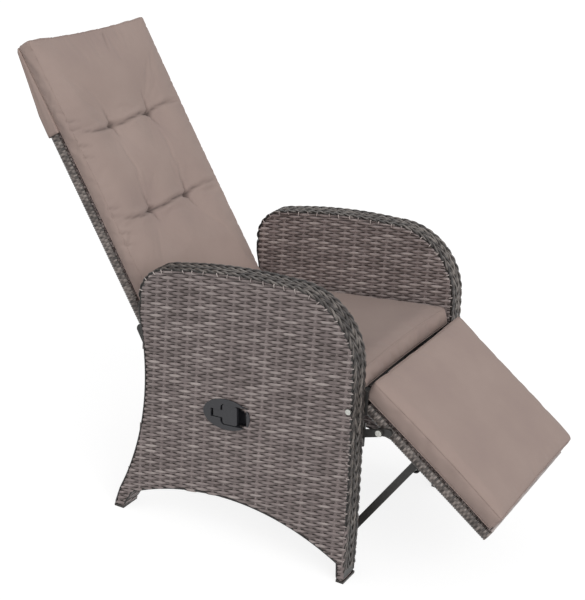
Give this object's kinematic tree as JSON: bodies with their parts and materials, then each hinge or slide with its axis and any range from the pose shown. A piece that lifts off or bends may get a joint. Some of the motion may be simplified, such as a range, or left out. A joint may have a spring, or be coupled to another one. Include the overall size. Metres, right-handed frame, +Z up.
{
  "type": "reclining garden armchair",
  "caption": "Reclining garden armchair with solid woven side panels, linked back and footrest, gas-spring recline, side release handle and box cushions.",
  "frame": {"origin": "on the floor, under the middle of the chair's overall length and width with the back leant and the footrest half raised", "axes": "+Z up; the sitter faces -Y; -X is the sitter's right, where the release handle is"},
  "size_m": [0.618, 1.3069, 1.0769],
  "materials": {
    "wicker": "mixed grey-brown woven plastic strand, matte",
    "braid": "greenish-grey twisted plastic strand, matte",
    "cushion_fabric": "plain taupe woven polyester with sewn edges",
    "dark_frame": "satin charcoal powder coat",
    "bright_steel": "zinc-plated steel",
    "piston_chrome": "polished hard chrome",
    "handle_plastic": "satin dark grey moulded plastic",
    "black_plastic": "plain black moulded plastic",
    "cable_sheath": "smooth black sheath"
  },
  "bodies": {
    "base": {"side_frame_right": "dark_frame", "side_frame_left": "dark_frame", "side_weave_right": "wicker", "side_weave_left": "wicker", "arm_braid_right": "braid", "arm_braid_left": "braid", "front_foot_glides": "black_plastic", "rear_foot_glides": "black_plastic", "seat_front_rail": "dark_frame", "seat_rear_rail": "dark_frame", "seat_side_rails": "dark_frame", "seat_deck": "wicker", "seat_cushion": "cushion_fabric", "seat_front_bolts": "bright_steel", "seat_front_nuts": "bright_steel", "seat_rear_bolts": "bright_steel", "footrest_hinge_arm_right": "dark_frame", "footrest_hinge_arm_left": "dark_frame", "hinge_arm_bolts": "bright_steel", "footrest_pivot_bolts": "bright_steel", "footrest_pivot_nuts": "bright_steel", "back_pivot_bushes": "black_plastic", "rocker_bushes": "black_plastic", "back_pivot_bolts": "bright_steel", "handle_bezel": "handle_plastic", "paddle_pin": "bright_steel", "paddle_spring": "bright_steel", "gas_front_pin": "bright_steel", "release_cable": "cable_sheath"},
    "back": {"back_lever_right": "dark_frame", "back_lever_left": "dark_frame", "lever_cross_tube": "dark_frame", "rod_rear_pins": "bright_steel", "gas_rear_pin": "bright_steel", "back_frame": "dark_frame", "back_side_wraps": "wicker", "back_cross_wraps": "wicker", "back_deck": "wicker", "back_cushion": "cushion_fabric", "back_cushion_pocket": "cushion_fabric"},
    "footrest": {"footrest_frame": "dark_frame", "footrest_side_wraps": "wicker", "footrest_cross_wraps": "wicker", "footrest_deck": "wicker", "footrest_cushion": "cushion_fabric"},
    "rocker": {"rocker_tube": "dark_frame", "rocker_arm_right": "dark_frame", "rocker_arm_left": "dark_frame", "rod_front_pins": "bright_steel", "strut_foot_pins": "bright_steel"},
    "push_rod_right": {"push_rod_right": "dark_frame"},
    "push_rod_left": {"push_rod_left": "dark_frame"},
    "strut_right": {"footrest_strut_right": "dark_frame"},
    "strut_left": {"footrest_strut_left": "dark_frame"},
    "gas_rod": {"gas_rod": "piston_chrome", "release_head": "dark_frame"},
    "gas_cylinder": {"gas_cylinder": "dark_frame"},
    "release_lever": {"release_lever": "bright_steel", "release_wire": "bright_steel"},
    "paddle": {"release_paddle": "handle_plastic"}
  },
  "joints": [
    {"name": "back_recline", "type": "hinge", "parent": "base", "child": "back", "pos_m": [0, 0.204, 0.445], "axis": [-1, 0, 0], "range_deg": [-20, 6]},
    {"name": "footrest_fold", "type": "hinge", "parent": "base", "child": "footrest", "pos_m": [0, -0.349, 0.362], "axis": [-1, 0, 0], "range_deg": [-50, 15]},
    {"name": "rocker_swing", "type": "hinge", "parent": "base", "child": "rocker", "pos_m": [0, -0.206, 0.288], "axis": [-1, 0, 0], "range_deg": [-30.22, 9.07]},
    {"name": "push_rod_right_pivot", "type": "hinge", "parent": "rocker", "child": "push_rod_right", "pos_m": [-0.2115, -0.23378, 0.20313], "axis": [-1, 0, 0], "range_deg": [-8.61, 28.71]},
    {"name": "push_rod_left_pivot", "type": "hinge", "parent": "rocker", "child": "push_rod_left", "pos_m": [0.2115, -0.23378, 0.20313], "axis": [-1, 0, 0], "range_deg": [-8.61, 28.71]},
    {"name": "strut_right_pivot", "type": "hinge", "parent": "footrest", "child": "strut_right", "pos_m": [-0.1925, -0.43972, 0.31301], "axis": [-1, 0, 0], "range_deg": [-10.7, 35.68]},
    {"name": "strut_left_pivot", "type": "hinge", "parent": "footrest", "child": "strut_left", "pos_m": [0.1925, -0.43972, 0.31301], "axis": [-1, 0, 0], "range_deg": [-10.7, 35.68]},
    {"name": "gas_spring_tilt", "type": "hinge", "parent": "base", "child": "gas_rod", "pos_m": [0, -0.248, 0.404], "axis": [-1, 0, 0], "range_deg": [-0.718, 0.216]},
    {"name": "gas_spring_slide", "type": "slide", "parent": "gas_rod", "child": "gas_cylinder", "axis": [0, 0.9933, -0.1156], "range_m": [-0.00952, 0.03174]},
    {"name": "release_lever_pull", "type": "hinge", "parent": "gas_rod", "child": "release_lever", "pos_m": [-0.0096, -0.22913, 0.40181], "axis": [-1, 0, 0], "range_deg": [0, 5.01]},
    {"name": "paddle_pull", "type": "hinge", "parent": "base", "child": "paddle", "pos_m": [-0.297, 0.03492, 0.32856], "axis": [0, -0.0698, -0.9976], "range_deg": [0, 15], "stiffness_Nm_per_rad": 0.8, "springref_deg": -11.46}
  ],
  "couplings": [
    {"joint": "footrest_fold", "follows": "back_recline", "ratio": 2.5},
    {"joint": "rocker_swing", "follows": "back_recline", "ratio": 1.5111},
    {"joint": "push_rod_right_pivot", "follows": "back_recline", "ratio": -1.4356},
    {"joint": "push_rod_left_pivot", "follows": "back_recline", "ratio": -1.4356},
    {"joint": "strut_right_pivot", "follows": "back_recline", "ratio": -1.7838},
    {"joint": "strut_left_pivot", "follows": "back_recline", "ratio": -1.7838},
    {"joint": "gas_spring_tilt", "follows": "back_recline", "ratio": 0.0359},
    {"joint": "gas_spring_slide", "follows": "back_recline", "m_per_rad": -0.0909},
    {"joint": "release_lever_pull", "follows": "paddle_pull", "ratio": 0.3333}
  ]
}
